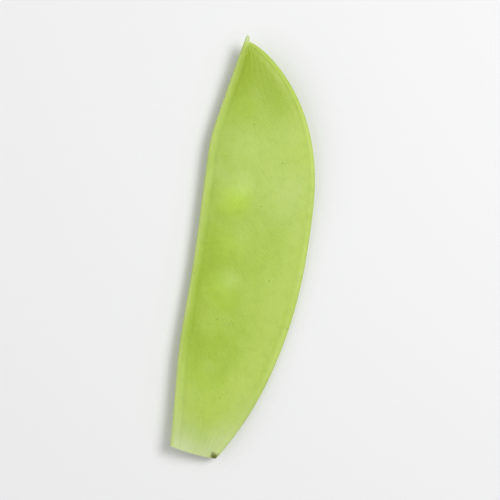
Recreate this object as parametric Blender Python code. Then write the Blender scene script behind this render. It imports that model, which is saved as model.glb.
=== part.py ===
"""Snow pea pod (mangetout), trimmed at the stem and lying on one side.

The pod is one solid. Its straight edge, towards -X, is the ventral suture, where the peas
are attached. Its round edge, towards +X, is the dorsal suture. +Y runs from the stem cut to
the beak, and +Z is up. The origin is the middle of the underside of the pod's box.
A share is a place along the pod, from 0 at the stem cut to 1 at the end of the beak.
"""

import math

import bpy
from mathutils import Vector

MM = 0.001

# Outline from above. A reach is how far an edge stands out from a line from cut to beak.
LENGTH = 76.0 * MM
CUT_SLANT = 0.17  # how much nearer the beak the cut is at its ventral corner, per metre across
DORSAL_REACH = 15.85 * MM
DORSAL_REACH_AT_CUT = 4.05 * MM
DORSAL_WIDEST = 0.59  # share where the round edge stands out furthest
DORSAL_CURVE = 2.55  # power by which it draws in from there to the cut
BEAK_CURVE = 2.3  # and to the beak
BEAK_ROUNDING = 0.72  # below 1, it also rounds the beak's shoulder beside the stub
VENTRAL_REACH = 4.5 * MM
VENTRAL_BELLY = 0.65 * MM  # the straight edge swells out by this
BELLY_SHARE = 0.24  # at this share
VENTRAL_BEND = 0.75  # share where the straight edge turns in to the beak
VENTRAL_TURN = 0.225  # and how steeply it does
DORSAL_STUB = 0.5 * MM  # reach of what is left of the style, at the end of the beak
VENTRAL_STUB = 0.32 * MM
STUB_START = 0.988
STUB_ROUNDING = 0.009  # share of the length over which its end is rounded
END_WIDTH = 0.3  # width at the very end, against that of the stub

# Section.
VENTRAL_RIB = 1.0 * MM  # radius of the rib along the straight edge, at the cut
DORSAL_RIB = 0.68 * MM  # and along the round edge
RIB_TAPER = 0.25  # share of its radius that a rib loses on the way to the beak
SEAM_DEPTH = 0.25 * MM  # the seam along the middle of the ventral rib, where a pod opens
FURROW_WIDTH = 1.2 * MM  # the furrow between a rib and the swell of the pod's side
FURROW_DEPTH = 0.12 * MM
SWELL = 1.0 * MM  # how far the middle of each side stands above the ribs

# Peas, which show as low rounds near the ventral edge.
PEAS = 7
FIRST_PEA = 14.0 * MM  # from the stem cut
PEA_PITCH = 8.3 * MM
PEA_STRAY = 0.6 * MM  # how far a pea is from its even place, at most
PEA_RADIUS = 4.8 * MM
PEA_HEIGHT = 0.5 * MM
PEA_ACROSS = 0.29  # share of the pod's width from the ventral edge
PEA_SIDE = 0.45  # the peas hang from the two sides by turns, and stand out more on their own
END_PEA_SIZE = 0.5  # size of the first and the last pea, against the middle one

# How the pod is warped, and how it lies.
BOW = 1.5 * MM  # how far the pod rises over half its length
BOW_LOWEST = 0.38  # from this share, where the belly is lowest
TWIST = math.radians(8.0)  # turn of one end against the other
ROLL = math.radians(4.3)  # how far the round edge sinks, until the pod lies on both its halves
REST_DEPTH = 0.3 * MM  # what the surface presses flat under the belly

# Mesh density.
STATIONS = 72
STATION_POWER = 1.5  # draws the stations together towards the beak
RIB_STEPS = 4
SIDE_STEPS = 12

POD_GREEN = (0.45, 0.62, 0.12, 1.0)


def smooth(value):
    """An S-curve from 0 to 1."""
    value = min(1.0, max(0.0, value))
    return value * value * (3 - 2 * value)


def dorsal_edge(share):
    """X of the round edge."""
    if share < DORSAL_WIDEST:
        fall = ((DORSAL_WIDEST - share) / DORSAL_WIDEST) ** DORSAL_CURVE
        return DORSAL_REACH - (DORSAL_REACH - DORSAL_REACH_AT_CUT) * fall
    fall = min(1.0, (share - DORSAL_WIDEST) / (STUB_START - DORSAL_WIDEST)) ** BEAK_CURVE
    return max(DORSAL_STUB, DORSAL_REACH * (1 - fall) ** BEAK_ROUNDING)


def ventral_edge(share):
    """X of the straight edge."""
    belly = VENTRAL_BELLY * math.exp(-(((share - BELLY_SHARE) / 0.15) ** 2))
    past_bend = share - VENTRAL_BEND
    turned = VENTRAL_TURN * LENGTH * (past_bend + math.hypot(past_bend, 0.03)) / 2
    return -max(VENTRAL_STUB, VENTRAL_REACH + belly - turned)


def lean(edge, share):
    """Cosine of the angle between an edge and the pod's length."""
    step = 0.002
    low, high = max(0.0, share - step), min(1.0, share + step)
    return 1 / math.hypot(1, (edge(high) - edge(low)) / ((high - low) * LENGTH))


def rib_profile(distance, radius):
    """Half the thickness at this distance from an edge: a round rib, a furrow, then level."""
    if distance < radius:
        return math.sqrt(max(0.0, distance * (2 * radius - distance)))
    furrow = min(1.0, (distance - radius) / FURROW_WIDTH)
    return radius - FURROW_DEPTH * math.sin(math.pi * furrow) ** 2


class Pea:
    """One pea, which lifts both sides of the pod."""

    def __init__(self, number):
        middle = (PEAS - 1) / 2
        self.y = FIRST_PEA + number * PEA_PITCH + PEA_STRAY * math.sin(2.2 * number)
        self.size = 1 - (1 - END_PEA_SIZE) * ((number - middle) / middle) ** 2
        self.own_side = (-1) ** number
        ventral, dorsal = ventral_edge(self.y / LENGTH), dorsal_edge(self.y / LENGTH)
        self.x = ventral + PEA_ACROSS * (dorsal - ventral)

    def rise(self, x, y, side):
        """Height that the pea adds to the upper side (side 1) or the lower one (side -1)."""
        off = math.hypot(x - self.x, y - self.y) / (PEA_RADIUS * math.sqrt(self.size))
        if off >= 1:
            return 0.0
        return PEA_HEIGHT * self.size * (1 + PEA_SIDE * self.own_side * side) * (1 - off**2) ** 2


class Station:
    """The pod's section at one share of its length."""

    def __init__(self, share):
        self.y = share * LENGTH
        self.closing = self.closing_at(share)
        ventral, dorsal = ventral_edge(share), dorsal_edge(share)
        self.middle = (ventral + dorsal) / 2
        self.width = (dorsal - ventral) * self.closing
        self.ventral = self.middle - self.width / 2
        self.dorsal = self.middle + self.width / 2
        self.ventral_lean = lean(ventral_edge, share)
        self.dorsal_lean = lean(dorsal_edge, share)
        taper = 1 - RIB_TAPER * share
        self.ventral_rib = min(VENTRAL_RIB * taper, 0.45 * self.width)
        self.dorsal_rib = min(DORSAL_RIB * taper, 0.45 * self.width)
        self.swell = SWELL * math.sin(math.pi * (0.1 + 0.9 * share)) ** 0.6
        self.tilt = TWIST * (share - 0.5) - ROLL
        self.bow = BOW * (2 * (share - BOW_LOWEST)) ** 2
        self.slant = CUT_SLANT * (1 - smooth(3 * share))

    @staticmethod
    def closing_at(share):
        """Rounds off the end of the beak: 1 along the pod, down to END_WIDTH at the tip."""
        into_end = max(0.0, 1 - (1 - share) / STUB_ROUNDING)
        return math.sqrt(1 - (1 - END_WIDTH**2) * into_end**2)

    def columns(self):
        """X of each point across, from the ventral edge to the dorsal one."""
        ventral_rib = min(self.ventral_rib / self.ventral_lean, 0.45 * self.width)
        dorsal_rib = min(self.dorsal_rib / self.dorsal_lean, 0.45 * self.width)
        steps = [1 - math.cos(math.pi / 2 * step / RIB_STEPS) for step in range(RIB_STEPS)]
        low, high = self.ventral + ventral_rib, self.dorsal - dorsal_rib
        side = [low + (high - low) * step / SIDE_STEPS for step in range(SIDE_STEPS + 1)]
        left = [self.ventral + ventral_rib * step for step in steps]
        right = [self.dorsal - dorsal_rib * step for step in reversed(steps)]
        return left + side + right

    def half_thickness(self, x, side, peas):
        """Distance from the pod's middle surface to one of its sides."""
        across = (x - self.ventral) / self.width
        ventral = rib_profile((x - self.ventral) * self.ventral_lean, self.ventral_rib)
        dorsal = rib_profile((self.dorsal - x) * self.dorsal_lean, self.dorsal_rib)
        ribs = ventral + (dorsal - ventral) * smooth((across - 0.3) / 0.4)
        swell = self.swell * (1 - abs(2 * across - 1) ** 2.2)
        return ribs + swell + sum(pea.rise(x, self.y, side) for pea in peas)

    def place(self, x, height):
        """A point this far above the pod's middle surface, once the pod is warped."""
        off = x - self.middle
        return Vector((x, self.y - self.slant * off, self.bow + self.tilt * off + height))

    def ring(self, peas):
        """Points round the pod, over the upper side to the dorsal edge and back underneath."""
        columns = self.columns()
        seam = min(SEAM_DEPTH, 0.25 * self.ventral_rib)
        over = [self.place(x, self.half_thickness(x, 1, peas)) for x in columns[1:]]
        under = [self.place(x, -self.half_thickness(x, -1, peas)) for x in columns[-2:0:-1]]
        return [self.place(columns[0] + seam, 0.0)] + over + under


def settle(points):
    """Presses the belly flat where it rests, and moves the origin under the middle of the pod's box."""
    floor = min(point.z for point in points) + REST_DEPTH
    for point in points:
        point.z = max(point.z, floor) - floor
    for axis in (0, 1):
        middle = (min(p[axis] for p in points) + max(p[axis] for p in points)) / 2
        for point in points:
            point[axis] -= middle


def loft(rings, around):
    """Faces of a tube through rings that have the same number of points, closed at both ends."""
    faces = []
    for row in range(rings - 1):
        for column in range(around):
            following = (column + 1) % around
            first, second = row * around, (row + 1) * around
            faces.append((first + column, first + following, second + following, second + column))
    last = (rings - 1) * around
    faces.append(tuple(reversed(range(around))))
    faces.append(tuple(range(last, last + around)))
    return faces


def pod_material():
    """Waxy yellow-green skin."""
    material = bpy.data.materials.new("pod_skin")
    material.use_nodes = True
    skin = material.node_tree.nodes["Principled BSDF"]
    skin.inputs["Base Color"].default_value = POD_GREEN
    skin.inputs["Roughness"].default_value = 0.42
    skin.inputs["Metallic"].default_value = 0.0
    return material


def make_pod():
    """Builds the pod's object."""
    peas = [Pea(number) for number in range(PEAS)]
    shares = [1 - (1 - step / STATIONS) ** STATION_POWER for step in range(STATIONS + 1)]
    rings = [Station(share).ring(peas) for share in shares]
    points = [point for ring in rings for point in ring]
    settle(points)
    mesh = bpy.data.meshes.new("pod")
    mesh.from_pydata(points, [], loft(len(rings), len(rings[0])))
    mesh.validate()
    mesh.shade_smooth()
    mesh.set_sharp_from_angle(angle=math.radians(50))
    mesh.materials.append(pod_material())
    pod = bpy.data.objects.new("pod", mesh)
    bpy.context.scene.collection.objects.link(pod)


def main():
    for obj in list(bpy.data.objects):
        bpy.data.objects.remove(obj)
    make_pod()


main()
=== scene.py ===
"""Looks of the snow pea pod: its fine skin, its colours, and the studio.

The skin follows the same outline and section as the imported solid, with many more points, and
adds what is too small for that: the rise and fall of each side, the knobs on the ribs, the
short ridges that peas hang from, the fine ridges at both ends, the veins and the open stem
cut. It also lowers the peas near both ends and fades out the dorsal furrow near the cut. It
lies where the solid lies. Lengths are in units of MM until a point is placed. A share is a
place along the pod, from 0 at the stem cut to 1 at the end of the beak.
"""

import math

import bpy
import numpy as np
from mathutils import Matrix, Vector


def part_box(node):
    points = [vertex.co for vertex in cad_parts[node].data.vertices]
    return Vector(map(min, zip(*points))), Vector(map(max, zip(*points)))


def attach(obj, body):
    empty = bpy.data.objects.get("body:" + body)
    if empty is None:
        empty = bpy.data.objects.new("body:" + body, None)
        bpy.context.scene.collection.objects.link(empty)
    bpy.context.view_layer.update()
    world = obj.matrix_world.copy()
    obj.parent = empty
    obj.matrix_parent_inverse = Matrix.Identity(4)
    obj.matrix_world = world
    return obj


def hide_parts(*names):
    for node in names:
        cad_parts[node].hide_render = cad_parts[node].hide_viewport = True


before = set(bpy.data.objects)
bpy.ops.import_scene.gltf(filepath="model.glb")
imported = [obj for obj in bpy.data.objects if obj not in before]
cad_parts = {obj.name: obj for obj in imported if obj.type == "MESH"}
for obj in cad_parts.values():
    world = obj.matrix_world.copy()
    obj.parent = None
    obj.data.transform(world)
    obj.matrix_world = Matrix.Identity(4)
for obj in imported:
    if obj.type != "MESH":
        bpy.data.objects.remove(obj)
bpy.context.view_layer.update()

pod_low, pod_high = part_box("pod")
BOX_LENGTH = 76.73  # length of the solid's box in units of MM
MM = (pod_high.y - pod_low.y) / BOX_LENGTH

# Outline from above, as in the solid.
LENGTH = 76.0
CUT_SLANT = 0.17
DORSAL_REACH = 15.85
DORSAL_REACH_AT_CUT = 4.05
DORSAL_WIDEST = 0.59
DORSAL_CURVE = 2.55
BEAK_CURVE = 2.3
BEAK_ROUNDING = 0.72
VENTRAL_REACH = 4.5
VENTRAL_BELLY = 0.65
BELLY_SHARE = 0.24
VENTRAL_BEND = 0.75
VENTRAL_TURN = 0.225
DORSAL_STUB = 0.5
VENTRAL_STUB = 0.32
STUB_START = 0.988
STUB_ROUNDING = 0.009
END_WIDTH = 0.3

# Section, as in the solid.
VENTRAL_RIB = 1.0
DORSAL_RIB = 0.68
RIB_TAPER = 0.25
SEAM_DEPTH = 0.25
FURROW_WIDTH = 1.2
FURROW_DEPTH = 0.12
SWELL = 1.0
PEAS = 7
FIRST_PEA = 14.0
PEA_PITCH = 8.3
PEA_STRAY = 0.6
PEA_RADIUS = 4.8
PEA_HEIGHT = 0.5
PEA_ACROSS = 0.29
PEA_SIDE = 0.45
END_PEA_SIZE = 0.5
BOW = 1.5
BOW_LOWEST = 0.38
TWIST = math.radians(8.0)
ROLL = math.radians(4.3)
REST_DEPTH = 0.3

# Fine relief, which only the skin has.
UNDULATION = 0.07  # slow rise and fall of each side
UNDULATION_LENGTH = 15
END_PEA_FADE = 1.6  # how much lower the peas near both ends stand
RIB_KNOBS = 0.035  # height of the knobs along both ribs
KNOB_LENGTH = 2.6
CORD_HEIGHT = 0.09  # the short ridge from the ventral furrow to each pea
STRIAE_HEIGHT = 0.03  # fine lengthwise ridges that run together at both ends
STRIAE = 62  # radians of their wave across the pod
FURROW_START = 0.4  # the dorsal furrow fades in from the cut to this share
CUT_BULGE = 0.2  # how far the middle of the stem cut stands out
CUT_GRAIN = 0.05  # roughness of the cut
SLIT_DEPTH = 0.35  # the closed gap between the pod's two sides, seen in the cut
SLIT_WIDTH = 0.16

# Where the colours lie.
BEAK_SHADE = 0.74  # share from which painted shade makes the beak a deeper green
WHITISH_END = 8  # the whitish end by the cut fades out by here
WHITISH_EDGES = 18  # and by here along both edges
FIRST_HOLLOW_SHADE = 13  # the painted shade in the hollows between the peas sets in here
PAINTED_GLOW_SHIFT = 1.2  # a pea's painted glow, lime light through the skin, lies this much nearer the cut than the pea
SHEEN_SHIFT = -1.8  # and its pale sheen this much nearer the beak

# Mesh density.
STATIONS = 440
STATION_POWER = 1.15
RIB_STEPS = 10
SIDE_STEPS = 84
CUT_ROWS = 26

# Camera and floor.
LEAN = math.radians(7.3)  # how far the pod leans clockwise in the picture
CAMERA_HEIGHT = 0.30
CAMERA_LENS = 118


def smooth(value):
    """An S-curve from 0 to 1."""
    value = np.clip(value, 0, 1)
    return value * value * (3 - 2 * value)


def bell(offset, width):
    """A bell curve, 1 at no offset."""
    return np.exp(-((offset / width) ** 2))


def waves(seed, x, y, length, count=7):
    """A smooth random field between about -1 and 1, made of waves of about this length."""
    random = np.random.default_rng(seed)
    field = 0
    for _ in range(count):
        turn = random.uniform(0, math.tau)
        wave = length * random.uniform(0.7, 1.5)
        phase = (x * math.cos(turn) + y * math.sin(turn)) * math.tau / wave
        field = field + np.sin(phase + random.uniform(0, math.tau))
    return field / math.sqrt(count)


def dorsal_edge(share):
    """X of the round edge."""
    to_cut = np.clip((DORSAL_WIDEST - share) / DORSAL_WIDEST, 0, 1) ** DORSAL_CURVE
    to_beak = np.clip((share - DORSAL_WIDEST) / (STUB_START - DORSAL_WIDEST), 0, 1)
    reach = DORSAL_REACH - (DORSAL_REACH - DORSAL_REACH_AT_CUT) * to_cut
    return np.maximum(DORSAL_STUB, reach * (1 - to_beak**BEAK_CURVE) ** BEAK_ROUNDING)


def ventral_edge(share):
    """X of the straight edge."""
    belly = VENTRAL_BELLY * bell(share - BELLY_SHARE, 0.15)
    past_bend = share - VENTRAL_BEND
    turned = VENTRAL_TURN * LENGTH * (past_bend + np.hypot(past_bend, 0.03)) / 2
    return -np.maximum(VENTRAL_STUB, VENTRAL_REACH + belly - turned)


def lean(edge, share):
    """Cosine of the angle between an edge and the pod's length."""
    low, high = np.maximum(0, share - 0.002), np.minimum(1, share + 0.002)
    return 1 / np.hypot(1, (edge(high) - edge(low)) / ((high - low) * LENGTH))


def rib_profile(distance, radius):
    """Half the thickness at this distance from an edge: a round rib, a furrow, then level."""
    rib = np.sqrt(np.maximum(0, distance * (2 * radius - distance)))
    furrow = np.clip((distance - radius) / FURROW_WIDTH, 0, 1)
    return np.where(distance < radius, rib, radius - FURROW_DEPTH * np.sin(math.pi * furrow) ** 2)


class Pea:
    """One pea, which lifts both sides of the pod."""

    def __init__(self, number):
        middle = (PEAS - 1) / 2
        self.y = FIRST_PEA + number * PEA_PITCH + PEA_STRAY * math.sin(2.2 * number)
        self.size = 1 - (1 - END_PEA_SIZE) * ((number - middle) / middle) ** 2
        self.own_side = (-1) ** number
        ventral, dorsal = ventral_edge(self.y / LENGTH), dorsal_edge(self.y / LENGTH)
        self.x = ventral + PEA_ACROSS * (dorsal - ventral)

    def dome(self, x, y, side):
        """The pea's round shape as one side shows it, from 0 outside it to about 1 at its top."""
        off = np.hypot(x - self.x, y - self.y) / (PEA_RADIUS * math.sqrt(self.size))
        shown = self.size * (1 + PEA_SIDE * self.own_side * side)
        return shown * np.clip(1 - off**2, 0, 1) ** 2

    def cord(self, x, y):
        """The short ridge by which the pea hangs, slanting back from it to the ventral furrow."""
        along = (self.x - x) / (self.x - ventral_edge(self.y / LENGTH))
        line = bell(y - self.y + 1.5 * along, 0.42)
        return line * smooth(along / 0.4) * smooth((0.85 - along) / 0.2) * self.size


PODS_PEAS = [Pea(number) for number in range(PEAS)]


class Sections:
    """The pod's sections, one row for each station and one column for each point across."""

    def __init__(self, share):
        self.share = share[:, None]
        into_end = np.clip(1 - (1 - self.share) / STUB_ROUNDING, 0, 1)
        closing = np.sqrt(1 - (1 - END_WIDTH**2) * into_end**2)
        ventral, dorsal = ventral_edge(self.share), dorsal_edge(self.share)
        self.middle = (ventral + dorsal) / 2
        self.width = (dorsal - ventral) * closing
        self.ventral = self.middle - self.width / 2
        self.dorsal = self.middle + self.width / 2
        self.ventral_lean = lean(ventral_edge, self.share)
        self.dorsal_lean = lean(dorsal_edge, self.share)
        taper = 1 - RIB_TAPER * self.share
        self.ventral_rib = np.minimum(VENTRAL_RIB * taper, 0.45 * self.width)
        self.dorsal_rib = np.minimum(DORSAL_RIB * taper, 0.45 * self.width)
        self.x = self.columns()
        self.y = self.share * LENGTH + 0 * self.x
        self.across = (self.x - self.ventral) / self.width

    def columns(self):
        """X of each point across, from the ventral edge to the dorsal one."""
        ventral_rib = np.minimum(self.ventral_rib / self.ventral_lean, 0.45 * self.width)
        dorsal_rib = np.minimum(self.dorsal_rib / self.dorsal_lean, 0.45 * self.width)
        steps = 1 - np.cos(math.pi / 2 * np.arange(RIB_STEPS) / RIB_STEPS)
        low, high = self.ventral + ventral_rib, self.dorsal - dorsal_rib
        side = low + (high - low) * np.linspace(0, 1, SIDE_STEPS + 1)
        left = self.ventral + ventral_rib * steps
        right = self.dorsal - dorsal_rib * steps[::-1]
        return np.hstack([left, side, right])

    def ventral_distance(self):
        return (self.x - self.ventral) * self.ventral_lean

    def dorsal_distance(self):
        return (self.dorsal - self.x) * self.dorsal_lean

    def half_thickness(self, side):
        """Distance from the pod's middle surface to one of its sides, as in the solid."""
        ventral = rib_profile(self.ventral_distance(), self.ventral_rib)
        dorsal = rib_profile(self.dorsal_distance(), self.dorsal_rib)
        ribs = ventral + (dorsal - ventral) * smooth((self.across - 0.3) / 0.4)
        swell = SWELL * np.sin(math.pi * (0.1 + 0.9 * self.share)) ** 0.6
        swell = swell * (1 - np.abs(2 * self.across - 1) ** 2.2)
        return ribs + swell + PEA_HEIGHT * self.domes(side)

    def domes(self, side, shift=0.0):
        """All the peas' domes, moved towards the cut by a shift."""
        return sum(pea.dome(self.x, self.y + shift, side) for pea in PODS_PEAS)

    def relief(self, side):
        """Fine relief of one side. It fades to nothing at the edges, where the sides meet."""
        ventral, dorsal = self.ventral_distance(), self.dorsal_distance()
        inside = smooth(ventral / 3) * smooth(dorsal / 3)
        undulation = UNDULATION * waves(5 + side, self.x, self.y, UNDULATION_LENGTH) * inside
        on_ribs = bell(ventral - 0.7, 0.5) + bell(dorsal - 0.55, 0.4)
        knobs = RIB_KNOBS * waves(11 + side, 0 * self.x, self.y, KNOB_LENGTH) * on_ribs
        cords = CORD_HEIGHT * sum(pea.cord(self.x, self.y) for pea in PODS_PEAS)
        near_ends = smooth(1 - self.share / 0.14) + smooth((self.share - 0.88) / 0.1)
        striae = STRIAE_HEIGHT * np.sin(self.across * STRIAE + 2 * waves(3, self.x, self.y, 9))
        striae = striae * near_ends * smooth(ventral) * smooth(dorsal)
        return undulation + knobs + cords + striae + self.furrow_fill() - self.end_pea_fade(side)

    def furrow_fill(self):
        """What fills the dorsal furrow near the cut."""
        furrow = np.clip((self.dorsal_distance() - self.dorsal_rib) / FURROW_WIDTH, 0, 1)
        depth = FURROW_DEPTH * np.sin(math.pi * furrow) ** 2 * smooth((self.across - 0.3) / 0.4)
        return depth * (1 - smooth(self.share / FURROW_START))

    def end_pea_fade(self, side):
        """How much lower the peas near both ends stand than in the solid."""
        faded = [(1 - pea.size) ** 2 * pea.dome(self.x, self.y, side) for pea in PODS_PEAS]
        return PEA_HEIGHT * END_PEA_FADE * sum(faded)

    def place(self, height):
        """Points this far above the pod's middle surface, once the pod is warped."""
        off = self.x - self.middle
        tilt = TWIST * (self.share - 0.5) - ROLL
        near_cut = 1 - smooth(3 * self.share)
        bulge = CUT_BULGE * (1 - (2 * self.across - 1) ** 2) * (1 - smooth(8 * self.share))
        y = self.y - CUT_SLANT * near_cut * off - bulge
        bow = BOW * (2 * (self.share - BOW_LOWEST)) ** 2
        return np.stack([self.x, y, bow + tilt * off + height], -1)


def skin_points(sections):
    """Both sides' points in units of MM, settled on the surface as the solid is."""
    plain = [sections.place(side * sections.half_thickness(side)) for side in (1, -1)]
    floor = min(side[..., 2].min() for side in plain) + REST_DEPTH
    sides = []
    for side in (1, -1):
        height = sections.half_thickness(side) + sections.relief(side)
        points = sections.place(side * height)
        seam = np.minimum(SEAM_DEPTH, 0.25 * sections.ventral_rib[:, 0])
        points[:, 0, 0] += seam
        points[:, 0, 2] = sections.place(0 * sections.x)[:, 0, 2]
        points[..., 2] = np.maximum(points[..., 2], floor) - floor
        sides.append(points)
    return sides


def pale_rim_and_highlight_mask(sections, uneven, beak):
    """The pale bands along both ribs, partly their own paler colour and partly painted highlight
    where the ribs catch the light, with painted glints in short stretches along the round edge,
    and the stripe inside the beak's round edge.
    """
    share = sections.share
    ventral, dorsal = sections.ventral_distance(), sections.dorsal_distance()
    ventral_rim = bell(ventral - 0.15, 0.6) * (0.7 + 0.4 * uneven)
    towards_ends = np.abs(2 * share - 1.1) ** 1.5
    dorsal_rim = bell(dorsal - 0.35 - 0.5 * beak, 0.55) * (0.3 + 0.45 * towards_ends)
    # painted glints: the round edge's band is lit brighter in short stretches
    glint_streaks = 0.65 + 0.5 * waves(51, 0 * sections.x, sections.y, 13)
    beak_stripe = bell(dorsal - 1.2, 0.6) * bell(share - 0.92, 0.05)
    return ventral_rim + dorsal_rim * glint_streaks * (1 - 0.8 * beak) + 0.3 * beak_stripe


def pale_mask(sections, uneven):
    """The whitish end by the cut, which reaches further up along both edges."""
    by_edges = np.abs(2 * sections.across - 1) * (1 - smooth(sections.y / WHITISH_EDGES))
    whitish = (1 - smooth(sections.y / WHITISH_END)) * (1.25 - 0.5 * sections.across)
    return (whitish + 0.55 * by_edges) * (0.7 + 0.3 * uneven)


def bloom_and_sheen_mask(sections):
    """The skin's waxy whitish film, partly its own colour and partly painted sheen, on the broad
    part and along the round edge from there to the cut.
    """
    share, across = sections.share, sections.across
    broad = bell(share - 0.67, 0.14) * (0.7 + 0.3 * waves(41, sections.x, sections.y, 12))
    round_edge = smooth((across - 0.6) / 0.35) * (1 - smooth((share - 0.4) / 0.2))
    return broad + 0.35 * round_edge


def hollow_shade_mask(sections, side):
    """Painted shade: darker hollows between the peas, near the ventral edge."""
    share = sections.share
    off_peas = 1 - smooth(2.2 * sections.domes(side))
    shaded_hollows = bell(sections.across - 0.16, 0.16) * off_peas * (1.2 - share)
    return shaded_hollows * smooth((sections.y - FIRST_HOLLOW_SHADE) / 9) * smooth((0.9 - share) / 0.15)


def brown_mask(sections, side):
    """The dried spot at the dorsal corner of the cut."""
    off = np.hypot(sections.x - sections.dorsal[0] + 0.4, sections.y - 0.25)
    off = off * (1 + 0.2 * waves(31, sections.x, sections.y, 1.4)) + 0.2 * (1 - side)
    return bell(off, 0.8)


def colour_masks(sections, side):
    """Where each colour lies on one side: name to a value at each point, from 0 to about 1.

    Here and above, what is taken from an edge's distance, X or Y is in units of MM, and what
    is taken from share or across is a share of the pod's length or width.
    """
    share, across = sections.share, sections.across
    ventral, dorsal = sections.ventral_distance(), sections.dorsal_distance()
    uneven = 0.5 + 0.5 * waves(21 + side, sections.x, sections.y, 9)
    # where the beak's painted shade sets in; it also dims and moves the pale band on the round
    # edge
    beak = smooth((share - BEAK_SHADE) / 0.2)
    painted_glow, sheen = sections.domes(side, PAINTED_GLOW_SHIFT), sections.domes(side, SHEEN_SHIFT)
    return {
        "pale_rim_and_highlight": pale_rim_and_highlight_mask(sections, uneven, beak),
        "seam": bell(ventral, 0.12) + bell(dorsal, 0.07),
        "painted_glow": painted_glow * (0.25 + 0.75 * bell(share - 0.61, 0.17)),
        "sheen": sheen**2 * (0.3 + 0.7 * bell(share - 0.63, 0.12)),
        "hollow_shade": hollow_shade_mask(sections, side),
        "sunny": smooth((across - 0.5) / 0.5) + bell(sections.y - 8.5, 6),
        "bloom_and_sheen": bloom_and_sheen_mask(sections),
        "pale": pale_mask(sections, uneven),
        "beak": beak * smooth(dorsal / 1.2),
        "stub": smooth((share - 0.978) / 0.012) + 0 * sections.x,
        "brown": brown_mask(sections, side),
        "flesh": 0 * sections.x,
        "slit": 0 * sections.x,
    }


class PodMesh:
    """Vertices, faces and masks of the skin, which close round the pod and over both ends."""

    def __init__(self, sections):
        over, under = skin_points(sections)
        self.stations, self.columns = over.shape[:2]
        self.points = [over.reshape(-1, 3), under[:, 1:-1].reshape(-1, 3)]
        self.masks = {name: [mask.ravel()] for name, mask in colour_masks(sections, 1).items()}
        for name, mask in colour_masks(sections, -1).items():
            self.masks[name].append(mask[:, 1:-1].ravel())
        self.over = np.arange(self.stations * self.columns).reshape(self.stations, self.columns)
        self.under = self.over.copy()
        inner = (self.stations, self.columns - 2)
        self.under[:, 1:-1] = self.over.size + np.arange(inner[0] * inner[1]).reshape(inner)
        self.count = self.over.size + inner[0] * inner[1]
        self.faces, self.maps = [], []
        flat = np.stack([sections.share + 0 * sections.x, sections.across], -1)
        self.add_grid(self.over, flat, (0.01, 0.01), (0.98, 0.46))
        self.add_grid(self.under, flat, (0.01, 0.49), (0.98, 0.46), turned=True)
        self.close_end(over[0], under[0], 0, CUT_ROWS, (0.01, 0.96))
        self.close_end(over[-1], under[-1], -1, 4, (0.7, 0.96))

    def add_grid(self, index, flat, corner, size, turned=False):
        """Quads over a grid of vertices, with their places on the flat map, from 0 to 1."""
        places = np.array(corner) + flat * np.array(size)
        order = [(0, 0), (0, 1), (1, 1), (1, 0)]
        if turned:
            order.reverse()
        rows, columns = index.shape[0] - 1, index.shape[1] - 1
        for target, source in ((self.faces, index), (self.maps, places)):
            corners = [source[r : r + rows, c : c + columns] for r, c in order]
            target.append(np.stack(corners, 2).reshape(rows * columns, 4, *source.shape[2:]))

    def close_end(self, top, bottom, station, rows, corner):
        """A cut face between the last points of the upper and the lower side."""
        spread = np.linspace(-1, 1, rows + 1)[:, None]
        down = 0.5 + 0.5 * np.sign(spread) * np.abs(spread) ** 1.5
        points = top + (bottom - top) * down[..., None]
        across = np.linspace(0, 1, self.columns) + 0 * down
        thickness = np.linalg.norm(top - bottom, axis=-1)
        slit = bell((down - 0.5) * thickness, SLIT_WIDTH)
        slit = slit * smooth((across - 0.12) / 0.1) * smooth((0.9 - across) / 0.1)
        if station == 0:
            wall = smooth((0.5 - np.abs(down - 0.5)) * thickness / 0.3)
            grain = CUT_GRAIN * (1 + 0.8 * waves(8, points[..., 0], points[..., 2], 1.1))
            points[..., 1] += slit * SLIT_DEPTH + wall * grain
        index = np.empty((rows + 1, self.columns), int)
        index[0], index[-1] = self.over[station], self.under[station]
        index[1:-1, 0], index[1:-1, -1] = index[0, 0], index[0, -1]
        new = (rows - 1, self.columns - 2)
        index[1:-1, 1:-1] = self.count + np.arange(new[0] * new[1]).reshape(new)
        self.count += new[0] * new[1]
        self.points.append(points[1:-1, 1:-1].reshape(-1, 3))
        for name, parts in self.masks.items():
            edge = np.tile(parts[0].reshape(self.over.shape)[station][1:-1], (new[0], 1))
            parts.append(edge.ravel())
        if station == 0:
            self.masks["flesh"][-1] = np.ones(new[0] * new[1])
            self.masks["slit"][-1] = slit[1:-1, 1:-1].ravel()
            self.masks["brown"][-1] *= np.tile(1 - 0.7 * down[1:-1], (1, new[1])).ravel()
        flat = np.stack([across, down + 0 * across], -1)
        self.add_grid(index, flat, corner, (0.25, 0.03), turned=station == 0)

    def build(self, name):
        """The mesh as an object, placed where the solid is."""
        points = np.vstack(self.points)
        middle = (points.min(0) + points.max(0)) / 2
        points[:, :2] -= middle[:2]
        centre = (pod_low + pod_high) / 2
        points = points * MM + np.array([centre.x, centre.y, pod_low.z])
        faces, places = np.vstack(self.faces), np.vstack(self.maps)
        loops = [list(dict.fromkeys(face)) for face in faces.tolist()]
        mesh = bpy.data.meshes.new(name)
        mesh.from_pydata(points.tolist(), [], loops)
        self.add_map(mesh, faces, places)
        for mask, parts in self.masks.items():
            made = mesh.attributes.new(mask, "FLOAT", "POINT")
            made.data.foreach_set("value", np.concatenate(parts).astype(np.float32))
        mesh.shade_smooth()
        mesh.set_sharp_from_angle(angle=math.radians(48))
        piece = bpy.data.objects.new(name, mesh)
        bpy.context.scene.collection.objects.link(piece)
        return piece

    @staticmethod
    def add_map(mesh, faces, places):
        """A flat map of the skin, for anyone who paints or bakes it."""
        wanted = []
        for face, spots in zip(faces.tolist(), places.tolist()):
            wanted.extend(dict(zip(face, spots)).values())
        layer = mesh.uv_layers.new(name="OFBake")
        layer.uv.foreach_set("vector", np.array(wanted, np.float32).ravel())


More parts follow.
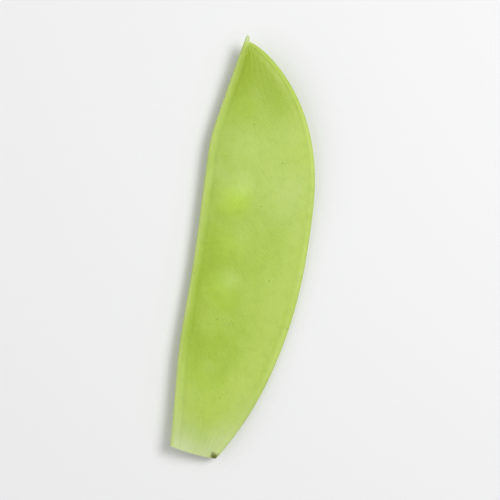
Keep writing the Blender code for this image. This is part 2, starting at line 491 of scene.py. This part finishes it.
class Nodes:
    """Short ways to build a material's nodes. A value is a number, a colour or a socket."""

    def __init__(self, name):
        self.material = bpy.data.materials.new(name)
        self.material.use_nodes = True
        self.tree = self.material.node_tree
        self.shader = self.tree.nodes["Principled BSDF"]

    def feed(self, socket, value):
        if isinstance(value, bpy.types.NodeSocket):
            self.tree.links.new(value, socket)
        else:
            socket.default_value = value

    def add(self, kind, inputs=(), **settings):
        """Adds a node; inputs maps a socket's name or number to its value."""
        node = self.tree.nodes.new(kind)
        for name, value in settings.items():
            setattr(node, name, value)
        for name, value in dict(inputs).items():
            self.feed(node.inputs[name], value)
        return node

    def math(self, operation, first, second=0.0):
        return self.add("ShaderNodeMath", {0: first, 1: second}, operation=operation).outputs[0]

    def mask(self, name, amount=1.0):
        """One of the skin's colour masks, weakened to this amount."""
        value = self.add("ShaderNodeAttribute", attribute_name=name).outputs["Fac"]
        return self.math("MULTIPLY", value, amount)

    def ranged(self, value, low, high, to_low=0.0, to_high=1.0):
        """Value eased from low..high to to_low..to_high, and held outside them."""
        inputs = {0: value, 1: low, 2: high, 3: to_low, 4: to_high}
        node = self.add("ShaderNodeMapRange", inputs, interpolation_type="SMOOTHSTEP")
        return node.outputs[0]

    def places(self, scale, turn=0.0):
        """Coordinates on the pod, turned about Z and then scaled, in units of MM."""
        own = self.add("ShaderNodeTexCoord").outputs["Object"]
        turned = self.add("ShaderNodeVectorRotate", {0: own, 3: turn}, rotation_type="Z_AXIS")
        inputs = {0: turned.outputs[0], 1: [1 / (MM * size) for size in scale]}
        return self.add("ShaderNodeVectorMath", inputs, operation="MULTIPLY").outputs[0]

    def noise(self, scale, detail=2.0, roughness=0.5, turn=0.0):
        """Noise whose lumps have these sizes, in units of MM, along X, Y and Z."""
        inputs = {"Vector": self.places(scale, turn), "Scale": 1.0}
        inputs.update({"Detail": detail, "Roughness": roughness})
        return self.add("ShaderNodeTexNoise", inputs).outputs[0]

    def tint(self, factor, colour, over):
        """Lays a colour over another by a factor."""
        node = self.add("ShaderNodeMix", data_type="RGBA")
        for socket, value in zip((0, 6, 7), (factor, over, colour)):
            self.feed(node.inputs[socket], value)
        return node.outputs[2]


def srgb(red, green, blue):
    """A colour given as 0 to 255 on a screen, as Blender's linear values."""
    values = (red / 255, green / 255, blue / 255)
    return [v / 12.92 if v <= 0.04045 else ((v + 0.055) / 1.055) ** 2.4 for v in values] + [1.0]


def vein_lines(nodes, cell, turn, width):
    """A net of fine lines between long cells: 1 on a line and 0 inside a cell."""
    inputs = {"Vector": nodes.places((3, 3, 3)), "Scale": 1.0, "Detail": 1.0}
    bend = nodes.add("ShaderNodeTexNoise", inputs).outputs[1]
    shift = nodes.add("ShaderNodeVectorMath", {0: bend, 3: 0.9}, operation="SCALE").outputs[0]
    inputs = {0: nodes.places(cell, turn), 1: shift}
    bent = nodes.add("ShaderNodeVectorMath", inputs, operation="ADD").outputs[0]
    inputs = {"Vector": bent, "Scale": 1.0}
    cells = nodes.add("ShaderNodeTexVoronoi", inputs, feature="DISTANCE_TO_EDGE")
    return nodes.ranged(cells.outputs["Distance"], 0.0, width, 1.0, 0.0)


def specks(nodes, cell, radius, kept):
    """Small round dots, one in this share of the cells: 1 inside a dot."""
    inputs = {"Vector": nodes.places((cell, cell, cell)), "Scale": 1.0}
    cells = nodes.add("ShaderNodeTexVoronoi", inputs, voronoi_dimensions="2D")
    dots = nodes.ranged(cells.outputs["Distance"], 0.4 * radius / cell, radius / cell, 1.0, 0.0)
    chosen = nodes.math("LESS_THAN", cells.outputs["Color"], kept)
    return nodes.math("MULTIPLY", dots, chosen)


def skin_material():
    """Waxy pea-pod skin, with its veins, its paler ribs and end, and the raw stem cut. Its
    colours also hold painted light and shade: highlights and glints on the ribs, a lime light and
    a sheen over the peas, sheen in the waxy film, and shade on the beak and in the hollows.
    """
    nodes = Nodes("pod_skin")
    green = srgb(163, 194, 50)
    deep = srgb(141, 174, 32)
    # the colour of the painted shade on the beak and in the hollows
    shaded_olive = srgb(151, 177, 20)
    light = srgb(180, 205, 85)
    sunlit = srgb(194, 215, 93)
    painted_glow = srgb(189, 222, 74)
    sheen = srgb(196, 222, 142)
    bloom_and_sheen = srgb(192, 213, 122)
    # colour of the pale specks, and of the ribs' pale bands with their painted highlight
    pale_and_highlight_green = srgb(209, 227, 130)
    pale_green = srgb(202, 216, 156)
    flesh_green = srgb(205, 217, 142)
    brown = srgb(98, 106, 30)

    blotches = nodes.noise((9, 14, 9), 3)
    waxy = nodes.noise((6, 9, 6), 2)
    mottle = nodes.noise((1.6, 1.6, 1.6), 3)
    fine = nodes.noise((0.16, 0.16, 0.16), 2)
    net = vein_lines(nodes, (0.9, 3.4, 4), math.radians(-38), 0.10)
    small_net = vein_lines(nodes, (0.55, 1.3, 2), math.radians(-30), 0.14)
    veins = nodes.math("MAXIMUM", net, nodes.math("MULTIPLY", small_net, 0.45))
    patches = nodes.ranged(waxy, 0.3, 0.6, 0.4, 1.0)
    # patches of the waxy film, partly painted sheen
    waxed_and_sheen = nodes.math("MULTIPLY", patches, nodes.mask("bloom_and_sheen", 0.6))

    layers = [
        (light, nodes.ranged(blotches, 0.3, 0.7)),
        (sunlit, nodes.ranged(nodes.mask("sunny"), 0, 1, 0, 0.42)),
        # painted shade: the beak deeper green where it turns away from the light
        (shaded_olive, nodes.mask("beak", 0.85)),
        # painted shade in the hollows between the peas
        (shaded_olive, nodes.mask("hollow_shade", 0.45)),
        # painted light: a lime glow through the skin over the peas
        (painted_glow, nodes.mask("painted_glow", 0.65)),
        (sheen, nodes.mask("sheen", 0.14)),
        # the waxy film: partly its own whitish colour, partly painted sheen
        (bloom_and_sheen, waxed_and_sheen),
        (deep, nodes.ranged(mottle, 0.45, 0.8, 0.0, 0.2)),
        (light, nodes.math("MULTIPLY", veins, 0.16)),
        (pale_and_highlight_green, nodes.ranged(fine, 0.55, 0.8, 0.0, 0.25)),
        (pale_green, nodes.mask("pale", 0.85)),
        # the ribs' pale bands: partly their own paler colour, partly painted highlight
        (pale_and_highlight_green, nodes.mask("pale_rim_and_highlight", 0.8)),
        (deep, nodes.mask("seam", 0.5)),
        (brown, nodes.math("MULTIPLY", specks(nodes, 7, 0.16, 0.45), 0.55)),
        (pale_green, nodes.mask("stub")),
        (flesh_green, nodes.mask("flesh")),
        (deep, nodes.mask("slit", 0.8)),
        (brown, nodes.ranged(nodes.mask("brown"), 0.1, 0.95)),
    ]
    colour = green
    for over, factor in layers:
        colour = nodes.tint(factor, over, colour)
    nodes.feed(nodes.shader.inputs["Base Color"], colour)

    nodes.feed(nodes.shader.inputs["Roughness"], nodes.ranged(waxy, 0.3, 0.7, 0.44, 0.58))
    height = nodes.math("MULTIPLY", veins, 0.5)
    height = nodes.math("ADD", height, nodes.math("MULTIPLY", mottle, 0.4))
    height = nodes.math("ADD", height, nodes.math("MULTIPLY", fine, 0.12))
    bump = nodes.add("ShaderNodeBump", {"Height": height, "Distance": 0.03 * MM, "Strength": 1.0})
    nodes.feed(nodes.shader.inputs["Normal"], bump.outputs[0])
    nodes.shader.inputs["IOR"].default_value = 1.45
    nodes.shader.inputs["Subsurface Weight"].default_value = 0.3
    nodes.shader.inputs["Subsurface Radius"].default_value = (1.0, 1.3, 0.35)
    nodes.shader.inputs["Subsurface Scale"].default_value = 1.2 * MM
    return nodes.material


def make_pod():
    """The pod's fine skin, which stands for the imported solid."""
    step = np.arange(STATIONS + 1) / STATIONS
    shares = 1 - (1 - step) ** STATION_POWER
    piece = PodMesh(Sections(shares)).build("pod_skin")
    piece.data.materials.append(skin_material())
    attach(piece, "root")
    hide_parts("pod")


def make_floor():
    """A plain pale table top."""
    bpy.ops.mesh.primitive_plane_add(size=3)
    floor = bpy.context.object
    floor.name = "floor"
    nodes = Nodes("floor")
    nodes.shader.inputs["Base Color"].default_value = srgb(241, 241, 242)
    nodes.shader.inputs["Roughness"].default_value = 0.7
    floor.data.materials.append(nodes.material)


def make_light(name, place, size, watts):
    """A soft square lamp aimed at the pod."""
    lamp = bpy.data.lights.new(name, "AREA")
    lamp.size = size
    lamp.energy = watts
    holder = bpy.data.objects.new(name, lamp)
    holder.location = place
    holder.rotation_euler = (-holder.location).to_track_quat("-Z", "Y").to_euler()
    bpy.context.scene.collection.objects.link(holder)


def make_studio():
    """Soft light from all round, a little more of it from the upper right."""
    world = bpy.data.worlds.new("studio")
    world.use_nodes = True
    background = world.node_tree.nodes["Background"]
    background.inputs["Color"].default_value = (1.0, 1.0, 1.0, 1.0)
    background.inputs["Strength"].default_value = 0.38
    bpy.context.scene.world = world
    bpy.context.scene.view_settings.view_transform = "Standard"
    make_light("key", (0.24, 0.17, 0.46), 0.24, 1.78)
    make_light("fill", (-0.42, -0.05, 0.36), 0.6, 0.9)


def make_camera():
    """A camera straight above the pod, turned so that the pod leans as a pod in a pack does."""
    camera = bpy.data.cameras.new("camera")
    camera.lens = CAMERA_LENS
    holder = bpy.data.objects.new("camera", camera)
    holder.location = (0, 0, CAMERA_HEIGHT)
    holder.rotation_euler = (0, 0, LEAN)
    bpy.context.scene.collection.objects.link(holder)
    bpy.context.scene.camera = holder


make_pod()
make_floor()
make_studio()
make_camera()
